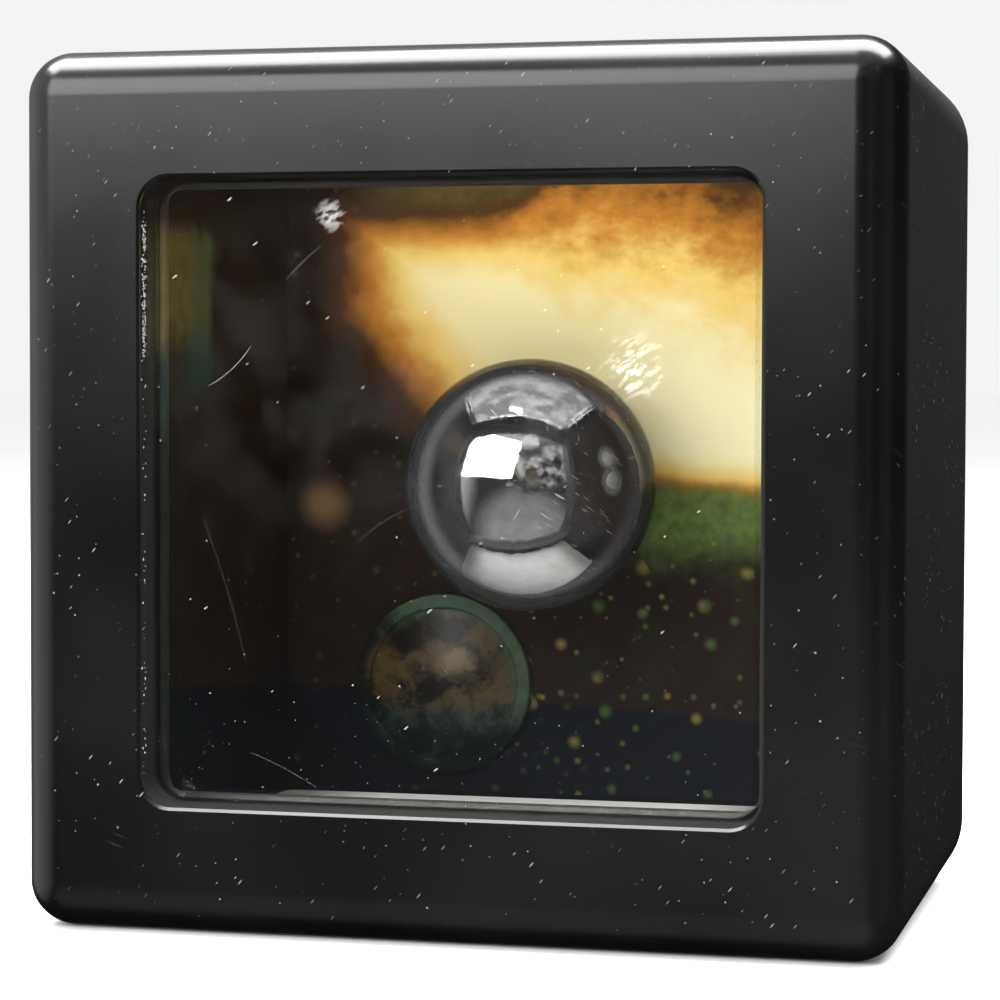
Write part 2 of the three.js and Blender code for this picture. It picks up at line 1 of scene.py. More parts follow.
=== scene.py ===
"""Looks of a windowed radiometer head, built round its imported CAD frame.

Metres, +Z up, front at -Y.
"""

import json
import math
import random

import bmesh
import bpy
from mathutils import Matrix, Vector


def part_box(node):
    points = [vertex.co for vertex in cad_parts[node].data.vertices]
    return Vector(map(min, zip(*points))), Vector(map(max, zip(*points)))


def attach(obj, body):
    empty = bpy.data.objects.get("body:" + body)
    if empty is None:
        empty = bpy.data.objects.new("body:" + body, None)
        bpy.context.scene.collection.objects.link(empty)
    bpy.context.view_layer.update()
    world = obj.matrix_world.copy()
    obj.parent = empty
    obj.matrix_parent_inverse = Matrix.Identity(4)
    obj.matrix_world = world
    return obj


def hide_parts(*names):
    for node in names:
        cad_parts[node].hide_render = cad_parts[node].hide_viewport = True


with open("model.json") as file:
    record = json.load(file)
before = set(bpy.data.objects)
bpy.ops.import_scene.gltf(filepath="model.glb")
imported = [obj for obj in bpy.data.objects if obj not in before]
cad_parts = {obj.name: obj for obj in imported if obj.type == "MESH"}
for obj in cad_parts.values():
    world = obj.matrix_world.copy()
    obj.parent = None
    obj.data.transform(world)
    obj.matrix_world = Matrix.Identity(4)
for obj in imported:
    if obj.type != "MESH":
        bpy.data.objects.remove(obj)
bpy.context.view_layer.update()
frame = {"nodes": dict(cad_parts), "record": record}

MM = 0.001

# Sizes that the frame's boxes don't give.
FRONT_FILLET = 3.3 * MM
REAR_FILLET = 5.0 * MM
WALL = 5.4 * MM
SIDE_GAP = 0.3 * MM
OPENING_CORNER = 2.2 * MM
OPENING_LIP = 0.2 * MM
LEDGE = 0.7 * MM  # how far the front ledge reaches in behind the pane
TOP_LEDGE = 1.2 * MM
LEDGE_TAPER = 0.5 * MM
PANE_BEVEL = 0.3 * MM
CAVITY_CORNER = 1.5 * MM
GASKET_GAP = 0.1 * MM  # left behind a gasket
SLACK = 0.05 * MM  # round a piece in its hole, and where two cuts meet
GRAINS = 260  # of dust in the gap beside the front pane

# Camera: where it looks, from the middle of the front face, and from which direction.
CAMERA_LENS = 116.48
CAMERA_AZIMUTH = math.radians(14.4855)
CAMERA_ELEVATION = math.radians(2.2536)
CAMERA_ROLL = math.radians(0.16)
CAMERA_DISTANCE = 219.3 * MM
CAMERA_LOOK = Vector((4.04 * MM, 0, -0.17 * MM))

body_low, body_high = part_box("housing")
MID_HEIGHT = (body_low.z + body_high.z) / 2
FACE = Vector((0, body_low.y, MID_HEIGHT))  # the middle of the front face


# ---------------------------------------------------------------- camera, floor and light


def make_camera():
    back = Vector(
        (
            math.sin(CAMERA_AZIMUTH) * math.cos(CAMERA_ELEVATION),
            -math.cos(CAMERA_AZIMUTH) * math.cos(CAMERA_ELEVATION),
            math.sin(CAMERA_ELEVATION),
        )
    )
    right = (-back).cross(Vector((0, 0, 1))).normalized()
    up = right.cross(-back)
    rolled_right = right * math.cos(CAMERA_ROLL) + up * math.sin(CAMERA_ROLL)
    rolled_up = up * math.cos(CAMERA_ROLL) - right * math.sin(CAMERA_ROLL)
    data = bpy.data.cameras.new("camera")
    data.lens = CAMERA_LENS
    data.sensor_width = 36
    data.clip_start = 0.005
    camera = bpy.data.objects.new("camera", data)
    bpy.context.scene.collection.objects.link(camera)
    turn = Matrix((rolled_right, rolled_up, back)).transposed().to_4x4()
    camera.matrix_world = Matrix.Translation(FACE + CAMERA_LOOK + back * CAMERA_DISTANCE) @ turn
    bpy.context.scene.camera = camera


def area_light(name, place, target, size, power):
    data = bpy.data.lights.new(name, "AREA")
    data.shape = "RECTANGLE"
    data.size, data.size_y = size
    data.energy = power
    light = bpy.data.objects.new(name, data)
    light.location = place
    light.rotation_euler = (target - place).to_track_quat("-Z", "Y").to_euler()
    light.visible_camera = False
    bpy.context.scene.collection.objects.link(light)


def make_lights():
    """A bright panel, a wide dim one and a small one above, and a box on the front left."""
    middle = FACE + Vector((0, 20 * MM, 0))
    area_light("back_panel", middle + Vector((-0.01, 0.05, 0.41)), middle, (0.76, 0.28), 11.0)
    area_light("sky_panel", middle + Vector((0.0, -0.10, 0.42)), middle, (0.80, 0.50), 1.2)
    area_light("sky_gap", middle + Vector((-0.045, -0.12, 0.38)), middle, (0.07, 0.03), 0.07)
    area_light("front_box", middle + Vector((-0.185, -0.37, 0.205)), middle, (0.42, 0.30), 2.4)
    bpy.data.objects["sky_panel"].visible_glossy = False


def shade_from_back_panel(pieces):
    """The bright panel lights only these pieces, so the ball doesn't mirror it."""
    group = bpy.data.collections.new("lit_by_back_panel")
    for piece in pieces:
        group.objects.link(piece)
    bpy.data.objects["back_panel"].light_linking.receiver_collection = group


def make_world():
    """Pale to the camera and to soft light, dim in reflections, so that black stays black."""
    world = bpy.data.worlds.new("studio")
    world.use_nodes = True
    tree = world.node_tree
    way = tree.nodes.new("ShaderNodeTexCoord").outputs["Generated"]

    def lobe(direction, outer, inner, strength):
        """A soft round patch of light, with its outer and inner half-widths in degrees."""
        dot = tree.nodes.new("ShaderNodeVectorMath")
        dot.operation = "DOT_PRODUCT"
        tree.links.new(way, dot.inputs[0])
        dot.inputs[1].default_value = Vector(direction).normalized()
        edges = math.cos(math.radians(outer)), math.cos(math.radians(inner))
        return Signal(tree, dot.outputs["Value"]).step(*edges) * strength

    room = lobe((-1.0, -0.15, 0.1), 50, 12, 0.9)  # a pale wall on the left
    room = room + lobe((0.1, -0.75, -0.66), 48, 22, 0.30)  # the table in front
    clouds = tree.nodes.new("ShaderNodeTexNoise")
    clouds.inputs["Scale"].default_value = 5
    clouds.inputs["Detail"].default_value = 5
    tree.links.new(way, clouds.inputs["Vector"])
    trees = Signal(tree, clouds.outputs["Fac"]).step(0.38, 0.62)
    room = room + lobe((0.40, -0.80, 0.45), 32, 18, 0.75) * trees  # a dimmer window on the right
    room = room + lobe((0.0, 0.0, 1.0), 62, 30, 0.95) * (trees * 0.6 + 0.4)  # the sky
    room = room + lobe((0.3, 1.0, 0.35), 36, 8, 0.035)  # the wall behind
    room = room + lobe((1.0, -0.3, 0.1), 22, 8, 0.12)  # a door on the right
    room = room + lobe((-0.5, 0.85, 0.3), 40, 10, 0.4)  # a pale corner behind on the left
    room = (room + 0.012) * lobe((0.25, -0.97, 0.04), 12, 5, 0.8).inverse()  # the camera itself

    path = tree.nodes.new("ShaderNodeLightPath")
    shades = []
    for shade in (room, 1.0, 0.9):
        background = tree.nodes.new("ShaderNodeBackground")
        background.inputs["Color"].default_value = (1, 1, 1, 1)
        as_signal(tree, shade).into(background.inputs["Strength"])
        shades.append(background.outputs[0])
    mixed = shades[0]
    for ray, shade in (("Is Diffuse Ray", shades[1]), ("Is Camera Ray", shades[2])):
        mix = tree.nodes.new("ShaderNodeMixShader")
        tree.links.new(path.outputs[ray], mix.inputs[0])
        tree.links.new(mixed, mix.inputs[1])
        tree.links.new(shade, mix.inputs[2])
        mixed = mix.outputs[0]
    tree.links.new(mixed, tree.nodes["World Output"].inputs["Surface"])
    world.cycles.sampling_method = "NONE"  # so that every soft ray sees the soft shade
    bpy.context.scene.world = world
    bpy.context.scene.view_settings.view_transform = "Standard"


# ---------------------------------------------------------------- node arithmetic


class Signal:
    """A number, colour or vector in a node tree, with ordinary arithmetic."""

    def __init__(self, tree, source):
        self.tree = tree
        self.source = source

    def into(self, socket):
        if isinstance(self.source, bpy.types.NodeSocket):
            self.tree.links.new(self.source, socket)
        else:
            socket.default_value = self.source

    def math(self, operation, *others):
        node = self.tree.nodes.new("ShaderNodeMath")
        node.operation = operation
        self.into(node.inputs[0])
        for socket, other in zip(node.inputs[1:], others):
            as_signal(self.tree, other).into(socket)
        return Signal(self.tree, node.outputs[0])

    def __add__(self, other):
        return self.math("ADD", other)

    def __sub__(self, other):
        return self.math("SUBTRACT", other)

    def __mul__(self, other):
        return self.math("MULTIPLY", other)

    def __truediv__(self, other):
        return self.math("DIVIDE", other)

    def __pow__(self, other):
        return self.math("POWER", other)

    def least(self, other):
        return self.math("MINIMUM", other)

    def most(self, other):
        return self.math("MAXIMUM", other)

    def size(self):
        return self.math("ABSOLUTE")

    def inverse(self):
        return Signal(self.tree, 1.0) - self

    def step(self, low, high):
        """0 at low, 1 at high, with soft ends. low may be the larger."""
        node = self.tree.nodes.new("ShaderNodeMapRange")
        node.interpolation_type = "SMOOTHSTEP"
        self.into(node.inputs["Value"])
        flipped = low > high
        node.inputs["From Min"].default_value = min(low, high)
        node.inputs["From Max"].default_value = max(low, high)
        node.inputs["To Min"].default_value = 1.0 if flipped else 0.0
        node.inputs["To Max"].default_value = 0.0 if flipped else 1.0
        return Signal(self.tree, node.outputs["Result"])


def as_signal(tree, value):
    return value if isinstance(value, Signal) else Signal(tree, value)


class Material:
    """A Principled material, with helpers that draw patterns in the row frame in millimetres."""

    def __init__(self, name, **settings):
        self.material = bpy.data.materials.new(name)
        self.material.use_nodes = True
        self.tree = self.material.node_tree
        self.shader = self.tree.nodes["Principled BSDF"]
        for socket, value in settings.items():
            self.set(socket, value)
        place = self.tree.nodes.new("ShaderNodeTexCoord")
        scaled = self.tree.nodes.new("ShaderNodeVectorMath")
        scaled.operation = "SCALE"
        scaled.inputs["Scale"].default_value = 1 / MM
        self.tree.links.new(place.outputs["Object"], scaled.inputs[0])
        self.place = Signal(self.tree, scaled.outputs[0])
        parts = self.tree.nodes.new("ShaderNodeSeparateXYZ")
        self.place.into(parts.inputs[0])
        self.x = Signal(self.tree, parts.outputs[0])
        self.y = Signal(self.tree, parts.outputs[1])
        self.z = Signal(self.tree, parts.outputs[2])
        self.up = self.z - MID_HEIGHT / MM  # from mid height
        self.depth = self.y - body_low.y / MM  # from the front face

    def set(self, socket, value):
        target = self.shader.inputs[socket.replace("_", " ")]
        if isinstance(value, Signal):
            value.into(target)
        elif isinstance(value, tuple) and len(value) == 3:
            target.default_value = (*value, 1)
        else:
            target.default_value = value

    def moved(self, turn=(0, 0, 0), stretch=(1, 1, 1), shift=(0, 0, 0), at=None):
        """The place measured along turned axes; a stretch under 1 draws marks out along an axis."""
        node = self.tree.nodes.new("ShaderNodeMapping")
        node.vector_type = "TEXTURE"
        node.inputs["Rotation"].default_value = [math.radians(angle) for angle in turn]
        node.inputs["Scale"].default_value = [1 / factor for factor in stretch]
        node.inputs["Location"].default_value = shift
        (at or self.place).into(node.inputs["Vector"])
        return Signal(self.tree, node.outputs[0])

    def noise(self, size, detail=3, roughness=0.5, distortion=0.0, at=None):
        """Noise of about 0 to 1, with features of that many millimetres."""
        node = self.tree.nodes.new("ShaderNodeTexNoise")
        (at or self.place).into(node.inputs["Vector"])
        node.inputs["Scale"].default_value = 1 / size
        node.inputs["Detail"].default_value = detail
        node.inputs["Roughness"].default_value = roughness
        node.inputs["Distortion"].default_value = distortion
        return Signal(self.tree, node.outputs["Fac"])

    def specks(self, spacing, radius, share=1.0, at=None, flat=False, core=0.4):
        """Small round marks, about one in each cell of that spacing, for a share of the cells."""
        node = self.tree.nodes.new("ShaderNodeTexVoronoi")
        if flat:  # one layer of marks on a surface that faces along Y
            node.voronoi_dimensions = "2D"
            at = at or self.moved(turn=(90, 0, 0))
        (at or self.place).into(node.inputs["Vector"])
        node.inputs["Scale"].default_value = 1 / spacing
        colour = self.tree.nodes.new("ShaderNodeSeparateColor")
        self.tree.links.new(node.outputs["Color"], colour.inputs[0])
        chance = Signal(self.tree, colour.outputs[0]).step(share + 0.001, share - 0.001)
        grain = Signal(self.tree, colour.outputs[1]) * 0.7 + 0.3
        distance = Signal(self.tree, node.outputs["Distance"]) / grain
        return distance.step(radius / spacing, core * radius / spacing) * chance

    def mix(self, amount, low, high):
        node = self.tree.nodes.new("ShaderNodeMix")
        node.data_type = "RGBA"
        node.clamp_factor = True
        as_signal(self.tree, amount).into(node.inputs[0])
        for socket, value in ((node.inputs[6], low), (node.inputs[7], high)):
            if isinstance(value, tuple) and len(value) == 3:
                value = (*value, 1)
            as_signal(self.tree, value).into(socket)
        return Signal(self.tree, node.outputs[2])

    def bump(self, height, depth, under=None):
        """Relief of that depth in millimetres."""
        node = self.tree.nodes.new("ShaderNodeBump")
        node.inputs["Distance"].default_value = depth * MM
        as_signal(self.tree, height).into(node.inputs["Height"])
        if under is not None:
            self.tree.links.new(under, node.inputs["Normal"])
        self.tree.links.new(node.outputs[0], self.shader.inputs["Normal"])
        return node.outputs[0]

    def facing(self):
        """0 where the surface faces the eye, 1 at a grazing angle."""
        node = self.tree.nodes.new("ShaderNodeLayerWeight")
        node.inputs["Blend"].default_value = 0.5
        return Signal(self.tree, node.outputs["Facing"])

    def hairlines(self, turn, width, length, cover):
        """Long thin scratches: noise that changes fast along one turned axis, cut to its crests."""
        along = self.moved(turn=turn, stretch=(1 / width, 1 / length, 1 / length))
        crest = self.noise(1.0, detail=1, at=along)
        patch = self.noise(7.0, detail=2, at=self.moved(shift=(turn[2], turn[0], 3.0)))
        return crest.step(0.70, 0.76) * patch.step(1 - cover, 1.05 - cover + 0.1)


# ---------------------------------------------------------------- materials


def black_housing():
    m = Material("black_housing")
    cloud = m.noise(22.0, detail=3, roughness=0.4)
    grain = m.noise(0.35, detail=2)
    lines = (
        m.hairlines((0, -52, 15), 0.10, 5.0, 0.40)
        .most(m.hairlines((0, 48, 35), 0.08, 4.0, 0.36))
        .most(m.hairlines((0, -68, -25), 0.12, 8.0, 0.36))
    )
    front = m.depth.step(0.7, 0.4)
    side = m.x.size().step(body_high.x / MM - 0.7, body_high.x / MM - 0.4)
    views = ((front, (90, 0, 0), (0, -50, 0)), (side, (0, 90, 0), (40, 0, 0)))
    pale = m.specks(1.2, 0.10, 0.35)
    for face, turn, slant in views:
        dust = m.specks(1.5, 0.10, 0.4, m.moved(turn=turn), True)
        slanted = m.moved(turn=turn, stretch=(0.3, 1.3, 1.0), at=m.moved(turn=slant))
        lint = m.specks(1.2, 0.09, 0.45, slanted, True)
        pale = pale.most(dust.most(lint) * face)
    pale = pale * (m.noise(7.0).step(0.40, 0.66) * 0.9 + 0.1)
    base = m.mix(cloud.step(0.35, 0.7), (0.0014, 0.0014, 0.0015), (0.0032, 0.0032, 0.0034))
    base = m.mix(lines * 0.45, base, (0.035, 0.035, 0.036))
    base = m.mix(pale * 0.6, base, (0.24, 0.24, 0.235))
    # The ledge behind the front pane carries a painted reflection, not a colour of its own.
    ledge = window_ledge(m)
    base = m.mix(ledge, base, ledge_painted_reflection(m))
    m.set("Base Color", base)
    rough = cloud * 0.10 + m.noise(6.0, detail=4) * 0.08 + 0.11 + grain * 0.03
    beside = m.x.size().most(m.up.size())
    gap = m.depth.step(0.2, 0.5) * m.depth.step(4.2, 4.1) * beside.step(22.3, 22.2)
    rough = rough.most(gap * 0.85)  # the walls of the opening, round the pane, are dull
    m.set("Roughness", rough.most(pale * 0.8).most(lines * 0.45).most(ledge * 0.7))
    under = m.bump(grain, 0.0015)
    m.bump(lines.inverse(), 0.006, under)
    return m.material


def gasket_rubber():
    """Black rubber; where the front one shows through the pane it carries the ledge's painted
    reflection.
    """
    m = Material("gasket_rubber")
    fine = m.noise(0.4, detail=4)
    base = m.mix(fine, (0.006, 0.006, 0.006), (0.015, 0.015, 0.014))
    # painted reflection where the gasket shows through the pane
    m.set("Base Color", m.mix(window_ledge(m), base, ledge_painted_reflection(m)))
    m.set("Roughness", fine * 0.2 + 0.6)
    m.bump(fine, 0.02)
    return m.material


def window_ledge(m):
    """1 on the ledge behind the front pane, 0 elsewhere."""
    beside = m.x.size().most(m.up.size())
    return m.depth.step(3.4, 3.5) * m.depth.step(5.6, 5.5) * beside.step(22.6, 22.5)


def ledge_painted_reflection(m):
    """Painted reflection on the ledge: olive and teal down the left, mottled pale grey along the
    bottom, brown elsewhere.
    """
    height = m.up
    patch = m.noise(1.2, detail=4)
    olive = m.mix(patch, (0.05, 0.035, 0.008), (0.12, 0.10, 0.03))
    teal = m.mix(patch, (0.004, 0.014, 0.010), (0.010, 0.026, 0.021))
    dark = m.mix(patch, (0.0025, 0.004, 0.002), (0.006, 0.009, 0.005))
    left = m.mix((height + patch * 3).step(13.5, 9.5), olive, teal)
    left = m.mix((height + patch * 2).step(7, 3), left, dark)
    left = m.mix((height + patch * 2).step(18, 21), left, (0.02, 0.012, 0.006))
    mottle = m.noise(0.5, detail=5, roughness=0.7)
    pale_band = m.mix(mottle, (0.006, 0.006, 0.004), (0.05, 0.047, 0.034))
    tint = m.mix(m.x.step(-19.5, -20.5), (0.012, 0.010, 0.008), left)
    return m.mix(height.step(-20.2, -20.9) * m.x.step(-21, -12), tint, pale_band)


def scratch(m, start, end, bow, width):
    """A shallow arc between two points given in X and Z from the middle of the pane."""
    x, z = m.x, m.up
    dx, dz = end[0] - start[0], end[1] - start[1]
    length = math.hypot(dx, dz)
    ux, uz = dx / length, dz / length
    along = (x - start[0]) * ux + (z - start[1]) * uz
    across = (z - start[1]) * ux - (x - start[0]) * uz
    curve = along * (along.inverse() + (length - 1)) * (4 * bow / length**2)
    inside = along.step(0, 0.12 * length) * along.step(length, 0.85 * length)
    return (across - curve).size().step(width, 0.3 * width) * inside


def window_glass(name, marks=(), haze=None):
    m = Material(name)
    outer = m.depth.step(1.2, 0.9) if marks else 1.0  # marks are on the outer face only
    dirt = m.specks(1.2, 0.06, 0.16, flat=True).most(m.specks(3.6, 0.10, 0.3, flat=True))
    low = m.up.step(-9, -17)
    shifted = m.moved(turn=(90, 0, 0), shift=(4, 9, 0))
    dirt = dirt.most(m.specks(0.8, 0.05, 0.2, shifted, True) * low)
    along = m.moved(turn=(90, -38, 0), stretch=(0.3, 1.1, 1.0))
    fibres = m.specks(1.9, 0.09, 0.16, along, True)
    rub = m.hairlines((0, 55, 0), 0.07, 4.0, 0.44) * 0.16
    rub = rub.most(m.hairlines((0, 48, 0), 0.05, 1.2, 0.46) * 0.22)
    dirt = dirt.most(fibres).most(rub)
    for start, end, bow, width, strength in marks:
        dirt = dirt.most(scratch(m, start, end, bow, width) * strength)
    dirt = dirt * outer
    drawn_out = m.moved(turn=(0, -32, 0), stretch=(0.16, 1, 1))
    streaks = m.noise(1.3, detail=5, roughness=0.7, at=drawn_out)
    smear = streaks.step(0.42, 0.75) * m.noise(8.0, detail=3).step(0.38, 0.62) * 0.02
    if haze:
        for (x, z), radius, strength in haze:
            streak = m.noise(0.45, detail=4, roughness=0.65, at=m.moved((0, -32, 0), (0.4, 1, 1.2)))
            away = ((m.x - x) ** 2 + (m.up - z) ** 2) ** 0.5
            smear = smear.most(away.step(radius, 0) * streak.step(0.46, 0.62) * strength)
    smear = smear * outer
    away = ((m.x + 9.0) ** 2 + (m.up - 9.0) ** 2) ** 0.5
    veil = away.step(18, 3) * m.noise(2.5, detail=4).step(0.3, 0.7) * outer * 0.008
    mirror = m.facing() ** 5 * 0.96 + 0.04
    m.set("Base Color", m.mix(dirt.most(smear * 8), (1.0, 1.0, 1.0), (0.62, 0.62, 0.58)))
    m.set("Metallic", dirt.most(smear * 6).step(0.3, 0.05) * (veil * -16 + 1))
    m.set("Roughness", dirt * 0.7 + smear * 2 + 0.015)
    m.set("Alpha", mirror.most(dirt * 0.32).most(smear) + veil)
    return m.material


def glass_edge(name, cover):
    """Ground edge of a pane: mostly clear, with chips and a frosted skin that catch the light."""
    m = Material(name, Metallic=1.0)
    frost = m.noise(0.3, detail=3)
    chips = m.noise(1.4, detail=4).step(0.52, 0.75)
    m.set("Base Color", m.mix(frost, (0.50, 0.52, 0.50), (0.80, 0.82, 0.79)))
    m.set("Roughness", frost * 0.2 + 0.15)
    m.set("Alpha", (frost * 0.3 + 0.85 + chips * 0.8) * cover)
    m.bump(frost, 0.01)
    return m.material


def dark_brown_tone(m, wander):
    """The dark brown of the chamber, with faint green and olive patches; on the gold mirror the
    same colours are the dark part of its painted reflection.
    """
    brown = m.mix(wander, (0.0050, 0.0024, 0.0012), (0.021, 0.0110, 0.0060))
    green = m.noise(2.2, detail=4, roughness=0.6, at=m.moved(shift=(7, 3, 5))).step(0.52, 0.72)
    return m.mix(green * 0.6, brown, (0.010, 0.019, 0.006))


def deep_blue_tone(m, wander):
    return m.mix(wander, (0.0004, 0.0022, 0.0055), (0.0018, 0.0050, 0.0100))


def chamber_black():
    """Dull brown-black paint that runs on from the plate, with two light patches on the right and
    the ledge's painted reflection carried onto the left wall near the front.
    """
    m = Material("chamber_black", Specular_IOR_Level=0.08)
    wander = m.noise(3.2, detail=5, roughness=0.62)
    fine = m.noise(0.3)
    depth, height = m.depth, m.up
    base = dark_brown_tone(m, wander)
    low = (height + depth * 0.086 + 0.2).step(-13.2, -13.8)
    base = m.mix(low, base, deep_blue_tone(m, wander))
    # Painted reflection on the left wall, as on the ledge: olive above, teal below, dark green near
    # the front.
    patch = m.noise(1.6, detail=4)
    olive = m.mix(patch, (0.05, 0.034, 0.008), (0.13, 0.10, 0.028))
    olive = m.mix((depth + patch * 2).step(12.0, 15.0), olive, (0.05, 0.065, 0.02))
    teal = m.mix((depth + patch * 2).step(10.0, 14.0), (0.014, 0.013, 0.006), (0.010, 0.034, 0.026))
    tint = m.mix((height + patch * 3).step(14.5, 10.5), olive, teal)
    strip = (depth + patch * 3).step(19.0, 17.0) * m.x.step(-22, -22.4)
    strip = strip * (height + patch * 2).step(6, 10) * (height + patch * 3).step(21.5, 19.0)
    base = m.mix(strip * 0.85, base, tint)
    edge = (depth + patch * 3).step(11.5, 9.0) * m.x.step(-22, -22.4)
    base = m.mix(edge * (height + patch * 2).step(10, 6) * 0.8, base, (0.004, 0.010, 0.005))
    rims = Signal(m.tree, 0.0)
    for node in ("port_lens_upper", "port_lens_lower"):
        low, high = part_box(node)
        middle = (low + high) / 2 / MM
        away = ((m.y - middle.y) ** 2 + (m.z - middle.z) ** 2) ** 0.5
        rims = rims.most(away.step(4.6, 2.6))
    base = m.mix(rims * m.x.step(21, 22) * 0.8, base, (0.13, 0.13, 0.125))
    m.set("Base Color", base)
    m.set("Roughness", fine * 0.2 + 0.6)
    m.bump(fine, 0.01)
    return m.material


def white_tile():
    m = Material("white_tile")
    pits = m.noise(0.25, detail=4)
    stain = m.noise(5.0).step(0.45, 0.75)
    tile = m.mix(stain * 0.4, (0.96, 0.955, 0.94), (0.84, 0.83, 0.79))
    # Painted shade: the tile fades to dark grey towards its left and right ends, next to the walls.
    m.set("Base Color", m.mix(m.x.size().step(11, 19), tile, (0.30, 0.29, 0.27)))
    m.set("Roughness", pits * 0.2 + 0.7)
    m.bump(pits, 0.02)
    return m.material


def gold_mirror():
    """Interference-coated plate whose colours are a painted reflection: pale gold, an orange
    fringe, green, then brown and deep blue.
    """
    m = Material("gold_mirror", Specular_IOR_Level=0.05)
    x, z = m.x, m.up
    wander = m.noise(3.2, detail=5, roughness=0.62)
    drift = (wander - 0.5) * 4.0
    blotch = (m.noise(1.6, detail=4, roughness=0.6, at=m.moved(stretch=(0.7, 1, 1.0))) - 0.5) * 5.5

    # How far inside the painted gold reflection a point lies, in millimetres, from each of its
    # sides.
    slope = (x + 11.4) * 0.80 + (z - 9.0) * 0.60
    left = slope.least(x + 15.3) + drift * 0.75
    soft = (x + drift * 1.5).step(-7.5, 1.0)
    ceiling = (z + x.step(9.5, 13.5) * 2.3 - 19.0 - soft * 1.1) * -1.0
    top = ceiling * (soft * -0.9 + 1.45) + blotch * (soft * 0.35 + 0.35)
    floor = (z + (x - 7) * 0.11 - 0.3) * 2.4 + drift * 0.5
    level = left.least(top).least(floor)

    dark = dark_brown_tone(m, wander)
    olive = m.mix(m.noise(1.5, detail=4), (0.03, 0.016, 0.005), (0.16, 0.12, 0.035))
    upper = (z + drift).step(9.0, 20.0) * (x + z * 0.3 + drift).step(-14, -2)
    dark = m.mix(upper * 0.75, dark, olive)
    colour = m.mix(level.step(-5.5, -2.0), dark, (0.055, 0.022, 0.006))
    colour = m.mix(level.step(-3.0, 0.2), colour, (0.46, 0.18, 0.024))
    colour = m.mix(level.step(-0.6, 2.2), colour, (0.84, 0.58, 0.15))
    colour = m.mix(level.step(1.2, 5.0), colour, (0.90, 0.79, 0.40))
    colour = m.mix((x + drift).step(-8, 12) * level.step(3, 7), colour, (0.95, 0.88, 0.52))

    band = (z + (x - 7) * 0.08 + drift * 0.5).step(0.9, -0.9) * (z + drift).step(-8.0, -3.0)
    band = band * (x + drift).step(3.5, 8.5)
    green = m.mix(m.noise(0.9, detail=4), (0.030, 0.070, 0.014), (0.17, 0.24, 0.06))
    colour = m.mix(band * 0.9, colour, green)

    # Painted reflection, lower right: green and brown specks.
    low_right = (x + drift).step(-7, -1) * z.step(0.5, -2.0)
    hue = m.mix(m.noise(2.0, detail=1).step(0.42, 0.58), (0.30, 0.22, 0.05), (0.07, 0.16, 0.03))
    shifted = m.moved(turn=(90, 0, 0), shift=(3, 7, 0))
    dots = m.specks(2.7, 0.85, 0.55, None, True, 0.0)
    dots = dots.most(m.specks(1.8, 0.42, 0.4, shifted, True, 0.0) * 0.7)
    blue = deep_blue_tone(m, wander)
    colour = m.mix((z + x * 0.055 + (wander - 0.5) * 0.5).step(-17.3, -18.0), colour, blue)
    colour = m.mix(dots * low_right * 0.6, colour, hue)
    # Painted reflection: orange and green specks just outside the gold.
    stray = m.specks(1.7, 0.5, 0.4, m.moved(turn=(90, 0, 0), shift=(5, 2, 0)), True, 0.0)
    stray = stray * level.step(-1.5, -3.5) * (x + drift).step(6, -2)
    speck_colour = m.mix(m.noise(1.5), (0.16, 0.06, 0.01), (0.05, 0.09, 0.015))
    colour = m.mix(stray * 0.4, colour, speck_colour)
    # A painted glow: a small amber spot of light on the plate, which is no lamp.
    glow = ((x + 19.4) ** 2 + (z + 2.2) ** 2) ** 0.5
    colour = m.mix(glow.step(2.7, 0.4) * 0.85, colour, (0.14, 0.08, 0.03))
    m.set("Base Color", colour)
    m.set("Metallic", level.step(-1, 2) * 0.2)
    m.set("Roughness", wander * 0.1 + 0.55)
    return m.material


def polished_steel():
    """Wiped steel, with painted shade at its rim: the base colour darkens and the metalness drops
    where the surface turns from the eye, so that the rim doesn't mirror the yellow plate.
    """
    m = Material("polished_steel", Specular_Tint=(0.08, 0.08, 0.08))
    wipe = m.noise(3.0, detail=5, roughness=0.6)
    fine = m.noise(0.5, detail=3)
    lines = m.hairlines((30, 10, 60), 0.06, 2.0, 0.55)
    lines = lines.most(m.hairlines((0, -55, 15), 0.06, 1.6, 0.55))
    steel = m.mix(wipe.step(0.4, 0.75), (0.69, 0.69, 0.70), (0.47, 0.47, 0.48))
    dust = m.specks(1.6, 0.08, 0.5).most(m.specks(0.6, 0.04, 0.4))
    # Painted shade: the base colour goes nearly black towards the rim, where the surface turns away
    # from the eye.
    rim = m.facing().step(0.34, 0.60)
    steel = m.mix(rim * 0.95, steel, (0.045, 0.045, 0.047))
    m.set("Base Color", m.mix(dust.most(lines * 0.6), steel, (0.6, 0.6, 0.6)))
    dust_lines_and_painted_rim = dust.most(lines * 0.6).most(rim * 0.5)
    m.set("Metallic", (wipe.step(0.75, 0.4) * 0.04 + 0.945) * (dust_lines_and_painted_rim * -0.8 + 1.0))
    m.set("Roughness", wipe.step(0.42, 0.75) * 0.12 + 0.04 + lines * 0.15)
    m.bump(fine * 0.4 + wipe, 0.016)
    return m.material


